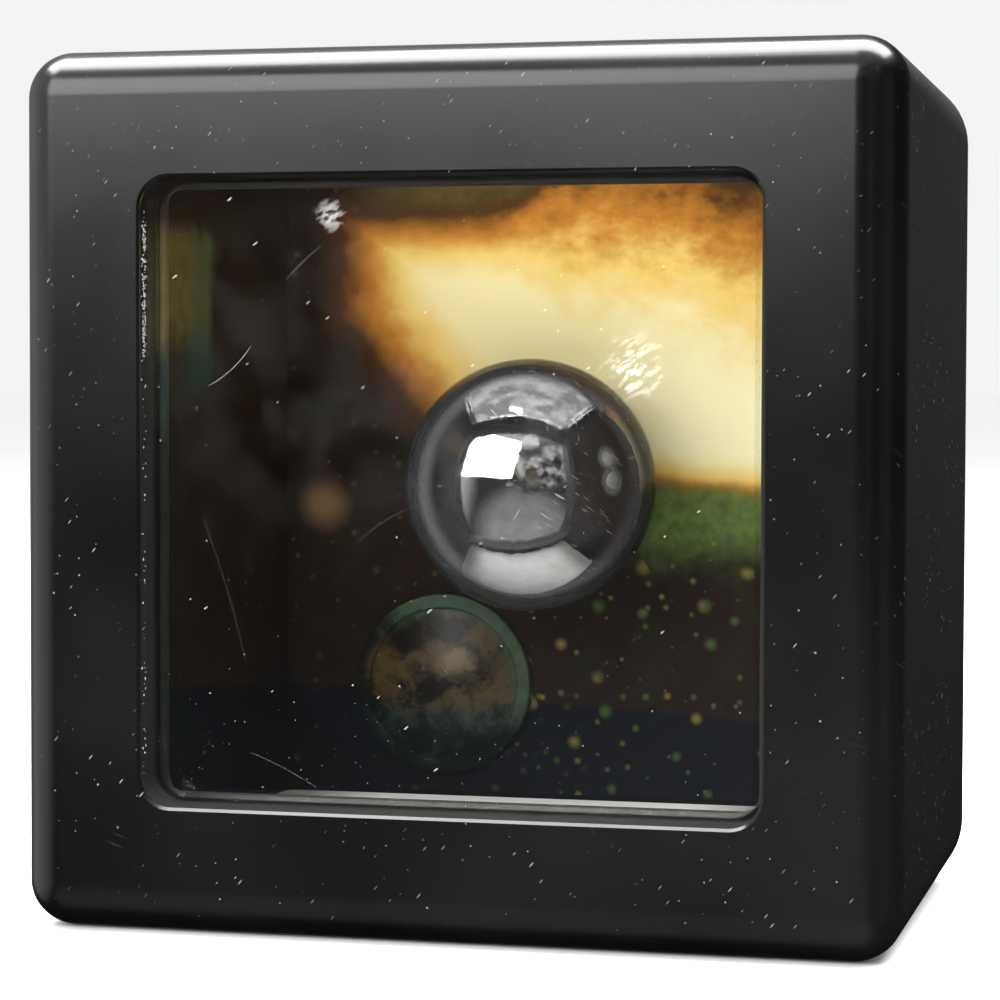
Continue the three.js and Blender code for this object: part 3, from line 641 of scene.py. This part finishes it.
def coated_lens(name, gloss):
    """Multi-layer coating, its coloured reflections painted into the colour: a green arc above,
    marbled amber in the middle, blue-green below.
    """
    m = Material(name, Specular_IOR_Level=gloss)
    low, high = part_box("lens_ring")
    middle, radius = (low + high) / 2, (high.x - low.x) / 2
    x, z = m.x - middle.x / MM, m.z - middle.z / MM
    out = (x**2 + z**2) ** 0.5 / (radius / MM)
    marble = m.noise(3.0, detail=5, roughness=0.68, distortion=0.5)
    veil = m.noise(0.8, detail=4, roughness=0.6)
    amber = m.mix(marble.step(0.42, 0.60), (0.004, 0.003, 0.0015), (0.070, 0.047, 0.016))
    # A painted reflection of the front light: a soft pale patch a little above the middle.
    cream = ((x - 0.9) ** 2 + ((z - 1.9) * 1.5) ** 2) ** 0.5 + marble * 7.0 - 3.5
    amber = m.mix(cream.step(2.2, 0.2) * 0.7, amber, (0.20, 0.155, 0.085))
    below = m.mix(marble.step(0.42, 0.60), (0.002, 0.006, 0.007), (0.020, 0.042, 0.034))
    colour = m.mix((z + marble * 4).step(1.8, -1.2), amber, below)
    green = m.mix(veil, (0.020, 0.045, 0.022), (0.075, 0.12, 0.075))
    upper_right = z * 0.8 + x * 0.6
    arc = (out + (veil - 0.5) * 0.2).step(0.70, 0.90) * (upper_right + marble * 4).step(1.5, 5.5)
    colour = m.mix(arc * 0.9, colour, green)
    rim = out.step(0.84, 0.95) * upper_right.step(3.0, -1.0)
    colour = m.mix(rim * 0.9, colour, (0.002, 0.005, 0.006))
    m.set("Base Color", colour)
    m.set("Roughness", veil * 0.1 + 0.3)
    return m.material


def plain(name, dark, light, rough, metallic=0.0, grain=0.4, depth=0.01, brushed=None):
    """A metal or moulding with cloudy colour, uneven roughness and fine relief."""
    m = Material(name, Metallic=metallic)
    at = m.moved(stretch=brushed) if brushed else None
    fine = m.noise(grain, detail=3, at=at)
    cloud = m.noise(3.0, detail=3)
    m.set("Base Color", m.mix(cloud * 0.6 + fine * 0.4, dark, light))
    m.set("Roughness", fine * 0.18 + rough - 0.09)
    m.bump(fine, depth)
    return m.material


def circuit_board():
    m = Material("circuit_board")
    trace = m.specks(1.6, 0.5, 0.5, at=m.moved(stretch=(1, 1, 0.25)))
    weave = m.noise(0.5, detail=2)
    m.set("Base Color", m.mix(trace, (0.008, 0.045, 0.018), (0.02, 0.11, 0.045)))
    m.set("Roughness", weave * 0.15 + 0.3)
    m.bump(trace + weave * 0.3, 0.03)
    return m.material


def make_materials():
    # Scratches: start and end in X and Z from the middle of the pane, bow, width, strength.
    pane_marks = [
        ((-17.2, 7.4), (-13.7, 10.6), -0.35, 0.05, 0.4),
        ((-21.2, 10.6), (-17.9, -0.6), 0.4, 0.10, 0.10),
        ((-17.9, -0.6), (-14.0, -13.0), 0.3, 0.12, 0.12),
        ((-6.5, -3.6), (-1.0, -0.4), 0.5, 0.10, 0.14),
        ((-11.6, 14.6), (-8.6, 17.3), 0.1, 0.04, 0.25),
        ((-14.5, -17.8), (-8.6, -20.6), 0.2, 0.05, 0.2),
    ]
    # Smudges: middle, radius, strength.
    pane_haze = [((-8.1, 19.2), 1.5, 0.4), ((13.2, 8.8), 3.0, 0.5)]
    drawn, spun = (1, 1, 0.1), (1, 1, 0.15)  # how far the grain is drawn out along each axis
    plain_ones = (
        # name, dark, light, roughness, metallic, grain, relief, brushed
        ("aluminium_plate", (0.5, 0.5, 0.51), (0.62, 0.62, 0.63), 0.35, 1.0, 0.3, 0.004, drawn),
        ("bright_steel", (0.38, 0.38, 0.39), (0.55, 0.55, 0.56), 0.28, 1.0, 0.2, 0.004, spun),
        ("brass_fittings", (0.5, 0.33, 0.1), (0.68, 0.48, 0.18), 0.3, 1.0, 0.2),
        ("port_glass", (0.16, 0.17, 0.17), (0.26, 0.27, 0.27), 0.2, 0.0, 0.5, 0.004),
        ("black_anodised", (0.003,) * 3, (0.008,) * 3, 0.6, 0.0, 0.2),
        ("black_moulding", (0.012,) * 3, (0.022,) * 3, 0.5, 0.0, 0.15, 0.015),
        ("amber_film", (0.32, 0.12, 0.015), (0.5, 0.22, 0.03), 0.3, 0.0, 0.6),
        ("dust", (0.14, 0.14, 0.14), (0.5, 0.5, 0.48), 0.9),
    )
    made = {name: plain(name, *settings) for name, *settings in plain_ones}
    own = (black_housing, gasket_rubber, chamber_black, white_tile, gold_mirror, polished_steel)
    for make in (*own, circuit_board):
        made[make.__name__] = make()
    made["window_glass"] = window_glass("window_glass", pane_marks, pane_haze)
    made["top_glass"] = window_glass("top_glass")
    for name, cover in (("glass_bevel", 0.18), ("glass_side", 0.035)):
        made[name] = glass_edge(name, cover)
    for name, gloss in (("coated_lens", 0.25), ("coated_ring", 0.04)):
        made[name] = coated_lens(name, gloss)
    return made


# ---------------------------------------------------------------- mesh helpers


def mesh_piece(name, points, faces, materials, sharp=30, slots=None):
    mesh = bpy.data.meshes.new(name)
    mesh.from_pydata([tuple(point) for point in points], [], faces)
    for material in materials:
        mesh.materials.append(material)
    if slots:
        mesh.polygons.foreach_set("material_index", slots)
    piece = bpy.data.objects.new(name, mesh)
    bpy.context.scene.collection.objects.link(piece)
    smooth(piece, sharp)
    return piece


def smooth(piece, sharp=30):
    mesh = piece.data
    mesh.polygons.foreach_set("use_smooth", [True] * len(mesh.polygons))
    mesh.set_sharp_from_angle(angle=math.radians(sharp))
    mesh.update()


def weight_normals(piece):
    modifier = piece.modifiers.new("weighted_normals", "WEIGHTED_NORMAL")
    modifier.keep_sharp = True


def rounded_outline(width, height, radius, steps=10):
    """Corner points of a rounded rectangle about the origin, going round by way of +X and +Y."""
    points = []
    for quarter in range(4):
        turn = quarter * math.pi / 2
        cx = (width / 2 - radius) * (1 if quarter in (0, 3) else -1)
        cy = (height / 2 - radius) * (1 if quarter in (0, 1) else -1)
        for step in range(steps + 1):
            angle = turn + step / steps * math.pi / 2
            points.append((cx + radius * math.cos(angle), cy + radius * math.sin(angle)))
    return points


def loft(sections):
    """Points and faces of a closed skin through sections of equally many points."""
    count = len(sections[0])
    points = [point for section in sections for point in section]
    faces = []
    for row in range(len(sections) - 1):
        for i in range(count):
            j = (i + 1) % count
            low, high = row * count, (row + 1) * count
            faces.append((low + i, low + j, high + j, high + i))
    faces.append(tuple(reversed(range(count))))
    faces.append(tuple(range((len(sections) - 1) * count, len(sections) * count)))
    return points, faces


def section_along_y(centre, depth, width, height, radius, steps=10):
    outline = rounded_outline(width, height, radius, steps)
    return [Vector((centre.x + x, depth, centre.z - z)) for x, z in outline]


def section_along_z(centre, level, width, length, radius, steps=10):
    outline = rounded_outline(width, length, radius, steps)
    return [Vector((centre.x + x, centre.y + y, level)) for x, y in outline]


def carve(piece, cutters):
    for cutter in cutters:
        modifier = piece.modifiers.new("cut", "BOOLEAN")
        modifier.operation = "DIFFERENCE"
        modifier.solver = "EXACT"
        modifier.object = cutter
    graph = bpy.context.evaluated_depsgraph_get()
    mesh = bpy.data.meshes.new_from_object(piece.evaluated_get(graph))
    piece.modifiers.clear()
    piece.data = mesh
    for cutter in cutters:
        bpy.data.objects.remove(cutter)
    smooth(piece)


def lofted(name, sections, *materials):
    return fix_normals(mesh_piece(name, *loft(sections), materials))


def turned(name, profile, centre, material, segments, closed=False):
    """A profile of (radius, depth) points turned about an axis along Y.

    It starts and ends on the axis, unless it is closed.
    """
    points, rows = [], []
    for radius, depth in profile:
        if radius < 1e-7:
            rows.append([len(points)])
            points.append(Vector((centre.x, depth, centre.z)))
            continue
        rows.append(list(range(len(points), len(points) + segments)))
        for i in range(segments):
            angle = 2 * math.pi * i / segments
            across, up = radius * math.cos(angle), radius * math.sin(angle)
            points.append(Vector((centre.x + across, depth, centre.z + up)))
    pairs = list(zip(rows, rows[1:]))
    if closed:
        pairs.append((rows[-1], rows[0]))
    faces = []
    for low, high in pairs:
        for i in range(segments):
            j = (i + 1) % segments
            quad = [low[i % len(low)], high[i % len(high)], high[j % len(high)], low[j % len(low)]]
            face = [v for k, v in enumerate(quad) if v not in quad[:k]]
            if len(face) > 2:
                faces.append(tuple(face))
    return fix_normals(mesh_piece(name, points, faces, [material] if material else []))


def grown_box(node, margin):
    low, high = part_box(node)
    return low - Vector((margin,) * 3), high + Vector((margin,) * 3)


def stands_for(piece, body, slot, *nodes):
    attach(piece, body)
    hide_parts(*nodes)


# ---------------------------------------------------------------- housing


def housing_sections():
    width, _, height = body_high - body_low
    steps = 10
    sections = []
    for radius, edge, inward in ((FRONT_FILLET, body_low.y, 1), (REAR_FILLET, body_high.y, -1)):
        ring = []
        for step in range(steps + 1):
            angle = step / steps * math.pi / 2
            inset = radius * (1 - math.sin(angle))
            corner = max(radius - inset, 0.02 * MM)
            level = edge + inward * radius * (1 - math.cos(angle))
            ring.append(
                section_along_y(FACE, level, width - 2 * inset, height - 2 * inset, corner, 12)
            )
        sections += ring if inward == 1 else reversed(ring)
    return sections


def opening_cutter(name, section, centre, face, sign, width, length, floor):
    """Cuts a rebate: section is section_along_y or _z, sign points out of the face."""
    steps = 5
    levels = [(face + sign * 2 * MM, OPENING_LIP)]
    for step in range(steps + 1):
        angle = step / steps * math.pi / 2
        levels.append(
            (face - sign * OPENING_LIP * math.sin(angle), OPENING_LIP * (1 - math.sin(angle)))
        )
    levels.append((floor, 0))
    sections = [
        section(centre, level, width + 2 * grow, length + 2 * grow, OPENING_CORNER + grow)
        for level, grow in levels
    ]
    return lofted(name, sections)


def straight_cutter(name, section, centre, start, end, width, length, corner, taper=0.0):
    """A rounded bar from start to end, wider by taper on each side at its end."""
    levels = ((start, 0.0), (end, taper))
    sections = [
        section(centre, level, width + 2 * grow, length + 2 * grow, corner + grow)
        for level, grow in levels
    ]
    return lofted(name, sections)


def fix_normals(piece):
    work = bmesh.new()
    work.from_mesh(piece.data)
    bmesh.ops.recalc_face_normals(work, faces=work.faces)
    work.to_mesh(piece.data)
    work.free()
    piece.data.update()
    return piece


def make_housing(materials):
    shell = lofted("housing_shell", housing_sections(), materials["black_housing"])
    front_low, front_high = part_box("front_window")
    gasket_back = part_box("front_gasket")[1].y + GASKET_GAP
    width = front_high.x - front_low.x + 2 * SIDE_GAP
    height = front_high.z - front_low.z + 2 * SIDE_GAP
    front = opening_cutter(
        "cut_front", section_along_y, FACE, body_low.y, -1, width, height, gasket_back
    )
    front_ledge = straight_cutter(
        "cut_front_ledge",
        section_along_y,
        FACE,
        gasket_back - SLACK,
        body_low.y + WALL + SLACK,
        width - 2 * LEDGE,
        height - 2 * LEDGE,
        OPENING_CORNER / 2,
        LEDGE_TAPER,
    )
    top_low, top_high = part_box("top_window")
    middle = (top_low + top_high) / 2
    gasket_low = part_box("top_gasket")[0].z - GASKET_GAP
    width = top_high.x - top_low.x + 2 * SIDE_GAP
    length = top_high.y - top_low.y + 2 * SIDE_GAP
    top = opening_cutter(
        "cut_top", section_along_z, middle, body_high.z, 1, width, length, gasket_low
    )
    top_ledge = straight_cutter(
        "cut_top_ledge",
        section_along_z,
        middle,
        body_high.z + MM,
        body_high.z - WALL - MM,
        width - 2 * TOP_LEDGE,
        length - 2 * TOP_LEDGE,
        OPENING_CORNER / 2,
    )
    cavity_low, cavity_high = grown_box("bulkhead", SIDE_GAP)
    cavity = straight_cutter(
        "cut_cavity",
        section_along_y,
        (cavity_low + cavity_high) / 2,
        body_low.y + WALL,
        body_high.y + MM,
        cavity_high.x - cavity_low.x,
        cavity_high.z - cavity_low.z,
        CAVITY_CORNER,
    )
    carve(shell, [front, front_ledge, top, top_ledge, cavity])
    weight_normals(shell)
    stands_for(shell, "head", "black_housing", "housing")


# ---------------------------------------------------------------- windows


def make_pane(name, node, section, out_axis, sign, materials, glass):
    """A pane with bevelled, ground edges. sign says which way its outer face looks on out_axis."""
    low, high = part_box(node)
    centre = (low + high) / 2
    outer = (high if sign > 0 else low)[out_axis]
    inner = (low if sign > 0 else high)[out_axis]
    width = high.x - low.x
    length = (high.z - low.z) if out_axis == 1 else (high.y - low.y)
    corner = OPENING_CORNER
    levels = [
        (outer, PANE_BEVEL),
        (outer - sign * PANE_BEVEL, 0),
        (inner + sign * PANE_BEVEL, 0),
        (inner, PANE_BEVEL),
    ]
    sections = [
        section(centre, level, width - 2 * inset, length - 2 * inset, corner - inset)
        for level, inset in levels
    ]
    points, faces = loft(sections)
    around = len(sections[0])
    slots = [1] * around + [2] * (len(faces) - 2 - around) + [0, 0]
    coats = [glass, materials["glass_bevel"], materials["glass_side"]]
    pane = mesh_piece(name, points, faces, coats, 20, slots)
    fix_normals(pane)
    stands_for(pane, "head", "window_glass", node)


def make_gasket(materials):
    """A thin square ring between the front pane and its ledge."""
    low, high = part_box("front_gasket")
    pane_low, pane_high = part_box("front_window")
    width, height = pane_high.x - pane_low.x, pane_high.z - pane_low.z
    inner = LEDGE - SIDE_GAP
    sections = [section_along_y(FACE, y, width, height, OPENING_CORNER) for y in (low.y, high.y)]
    ring = lofted("gasket", sections, materials["gasket_rubber"])
    hole = straight_cutter(
        "cut_gasket",
        section_along_y,
        FACE,
        low.y - MM,
        high.y + MM,
        width - 2 * inner,
        height - 2 * inner,
        OPENING_CORNER / 2,
    )
    carve(ring, [hole])
    stands_for(ring, "head", "gasket_rubber", "front_gasket")


def make_windows(materials):
    make_gasket(materials)
    make_pane(
        "front_pane", "front_window", section_along_y, 1, -1, materials, materials["window_glass"]
    )
    make_pane("top_pane", "top_window", section_along_z, 2, 1, materials, materials["top_glass"])


# ---------------------------------------------------------------- ball, lens and mirror


def make_ball(materials):
    low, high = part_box("polished_ball")
    radius = (high.x - low.x) / 2
    centre = Vector((0, low.y + radius, MID_HEIGHT))
    mouth = 1.65 * MM
    socket_depth = 6 * MM
    steps = 48
    last = math.pi - math.asin(mouth / radius)
    profile = []
    for step in range(steps + 1):
        angle = step / steps * last
        profile.append((radius * math.sin(angle), centre.y - radius * math.cos(angle)))
    profile += [(mouth, centre.y + radius - socket_depth), (0, centre.y + radius - socket_depth)]
    ball = turned("ball", profile, centre, materials["polished_steel"], 96)
    stands_for(ball, "head", "polished_steel", "polished_ball")


def make_lens(materials):
    low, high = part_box("detector_lens")
    centre = (low + high) / 2
    radius = (high.x - low.x) / 2
    edge, rise = 1.3 * MM, 1.3 * MM
    sphere = (radius**2 + rise**2) / (2 * rise)
    chamfer = 0.15 * MM
    steps = 20
    profile = []
    for step in range(steps + 1):
        r = step / steps * (radius - chamfer)
        profile.append((r, low.y + sphere - math.sqrt(sphere**2 - r**2)))
    profile += [(radius, high.y - edge + chamfer / 2), (radius, high.y), (0, high.y)]
    lens = turned("lens", profile, centre, materials["coated_lens"], 80)
    stands_for(lens, "head", "coated_lens", "detector_lens")

    low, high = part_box("lens_ring")
    outer = (high.x - low.x) / 2
    bore, lip = outer - 0.65 * MM, outer - 1.05 * MM
    soft = 0.12 * MM
    profile = [
        (lip, low.y + 0.3 * MM),
        (lip, low.y + soft),
        (lip + soft, low.y),
        (outer - soft, low.y),
        (outer, low.y + soft),
        (outer, high.y),
        (bore, high.y),
        (bore, low.y + 0.3 * MM),
    ]
    ring = turned("lens_bezel", profile, centre, materials["coated_ring"], 80, True)
    stands_for(ring, "head", "black_anodised", "lens_ring")


def make_mirror(materials):
    low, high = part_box("mirror_plate")
    centre = (low + high) / 2
    corner = 0.5 * MM
    chamfer = 0.12 * MM
    levels = [(low.y, chamfer), (low.y + chamfer, 0), (high.y, 0)]
    sections = [
        section_along_y(
            centre, level, high.x - low.x - 2 * inset, high.z - low.z - 2 * inset, corner, 4
        )
        for level, inset in levels
    ]
    plate = lofted("mirror", sections, materials["gold_mirror"])
    holes = []
    for name, node in (("cut_lens", "lens_ring"), ("cut_stem", "ball_stem")):
        hole_low, hole_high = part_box(node)
        radius = (hole_high.x - hole_low.x) / 2 + SLACK
        middle = (hole_low + hole_high) / 2
        profile = [(0, low.y - MM), (radius, low.y - MM), (radius, high.y + MM), (0, high.y + MM)]
        holes.append(turned(name, profile, middle, None, 72))
    carve(plate, holes)
    weight_normals(plate)
    stands_for(plate, "head", "gold_mirror", "mirror_plate")


# ---------------------------------------------------------------- rear


def make_rear(materials):
    low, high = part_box("rear_cover")
    centre = (low + high) / 2
    chamfer = 0.25 * MM
    levels = [(low.y, 0), (high.y - chamfer, 0), (high.y, chamfer)]
    sections = [
        section_along_y(
            centre,
            level,
            high.x - low.x - 2 * inset,
            high.z - low.z - 2 * inset,
            CAVITY_CORNER - inset,
        )
        for level, inset in levels
    ]
    cover = lofted("cover_plate", sections, materials["black_housing"])
    socket_low, socket_high = grown_box("output_socket", SIDE_GAP)
    socket = straight_cutter(
        "cut_socket",
        section_along_y,
        (socket_low + socket_high) / 2,
        low.y - MM,
        high.y + MM,
        socket_high.x - socket_low.x,
        socket_high.z - socket_low.z,
        0.4 * MM,
    )
    cutters = [socket]
    for index in range(1, 5):
        screw_low, screw_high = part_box(f"cover_screw_{index}")
        middle = (screw_low + screw_high) / 2
        head = (screw_high.x - screw_low.x) / 2
        shank = 0.8 * MM
        drop = head - shank
        gap = 0.1 * MM
        profile = [
            (0, low.y - MM),
            (shank + gap, low.y - MM),
            (shank + gap, high.y - drop - gap),
            (head + gap, high.y),
            (head + gap, high.y + MM),
            (0, high.y + MM),
        ]
        cutters.append(turned(f"cut_screw_{index}", profile, middle, None, 48))
        make_screw(index, middle, screw_low.y, screw_high.y, head, shank, materials)
    carve(cover, cutters)
    weight_normals(cover)
    stands_for(cover, "head", "black_housing", "rear_cover")


def make_screw(index, middle, tip, face, head, shank, materials):
    """A countersunk screw with a hexagon socket."""
    soft = 0.08 * MM
    profile = [
        (0, tip),
        (shank - soft, tip),
        (shank, tip + soft),
        (shank, face - (head - shank)),
        (head - soft, face - soft),
        (head - 2 * soft, face),
        (0, face),
    ]
    screw = turned(f"screw_{index}", profile, middle, materials["bright_steel"], 48)
    bottom, top, radius = face - 0.5 * MM, face + MM, 0.8 * MM
    hexagon = [(0, bottom), (radius, bottom), (radius, top), (0, top)]
    drive = turned(f"cut_drive_{index}", hexagon, middle, None, 6)
    carve(screw, [drive])
    stands_for(screw, "head", "bright_steel", f"cover_screw_{index}")


# ---------------------------------------------------------------- CAD nodes that stay


def finish_nodes(materials):
    """Every CAD node that stays gets its slot's material (the port lenses get port glass), and
    those listed in bevels a small softened edge.
    """
    bevels = {"reference_tile": 0.15, "output_socket": 0.12}  # widths in millimetres
    bevels |= {"left_baffle": 0.1, "right_baffle": 0.1}
    for row in frame["record"]["subparts"]:
        node = frame["nodes"][row["node"]]
        slot = "port_glass" if row["node"].startswith("port_lens") else row["material_slot"]
        material = materials[slot]
        node.data.materials.clear()
        node.data.materials.append(material)
        if row["node"] in bevels:
            bevel = node.modifiers.new("soft_edges", "BEVEL")
            bevel.width = bevels[row["node"]] * MM
            bevel.segments = 2
            bevel.limit_method = "ANGLE"


# ---------------------------------------------------------------- dirt


def make_gap_dust(materials):
    """Grains of pale dust caught in the gap down the left of the front pane."""
    random.seed(11)
    low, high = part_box("front_window")
    points, faces = [], []
    for _ in range(GRAINS):
        z = low.z + (high.z - low.z) * (0.02 + 0.96 * random.random())
        if random.random() < 0.7:
            z = low.z + (high.z - low.z) * random.uniform(0.72, 0.93)
        size = random.uniform(0.03, 0.09) * MM
        centre = Vector(
            (
                low.x - SIDE_GAP * random.uniform(0.3, 0.9),
                low.y + random.uniform(-0.05, 0.5) * MM,
                z,
            )
        )
        start = len(points)
        for corner in range(6):
            axis = Vector((0, 0, 0))
            axis[corner // 2] = 1 if corner % 2 else -1
            jitter = Vector([random.uniform(-0.4, 0.4) for _ in range(3)])
            stretch = Vector((0.8, 0.8, random.uniform(0.8, 1.8)))
            offset = Vector([a * b for a, b in zip(axis + jitter, stretch)])
            points.append(centre + offset * size)
        for a in (0, 1):
            for b in (2, 3):
                for c in (4, 5):
                    faces.append((start + a, start + b, start + c))
    dust = mesh_piece("gap_dust", points, faces, [materials["dust"]], 180)
    fix_normals(dust)
    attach(dust, "head")


# ---------------------------------------------------------------- floor


def make_floor():
    """A pale floor that reflections leave out, so that it doesn't wash out the black housing."""
    m = Material("floor")
    tint = m.noise(60.0, detail=2)
    m.set("Base Color", m.mix(tint, (0.87, 0.87, 0.87), (0.90, 0.90, 0.90)))
    m.set("Roughness", 0.7)
    m.set("Specular IOR Level", 0.0)
    half, level = 6.0, -0.05 * MM
    signs = ((-1, -1), (1, -1), (1, 1), (-1, 1))
    corners = [(x * half, y * half, level) for x, y in signs]
    floor = mesh_piece("floor", corners, [(0, 1, 2, 3)], [m.material])
    floor.visible_glossy = False


make_camera()
make_world()
make_lights()
materials = make_materials()
finish_nodes(materials)
make_housing(materials)
make_windows(materials)
make_ball(materials)
make_lens(materials)
make_mirror(materials)
make_rear(materials)
make_gap_dust(materials)
make_floor()
lit = ("floor", "housing_shell", "cover_plate", "front_pane")
shade_from_back_panel([bpy.data.objects[name] for name in lit])
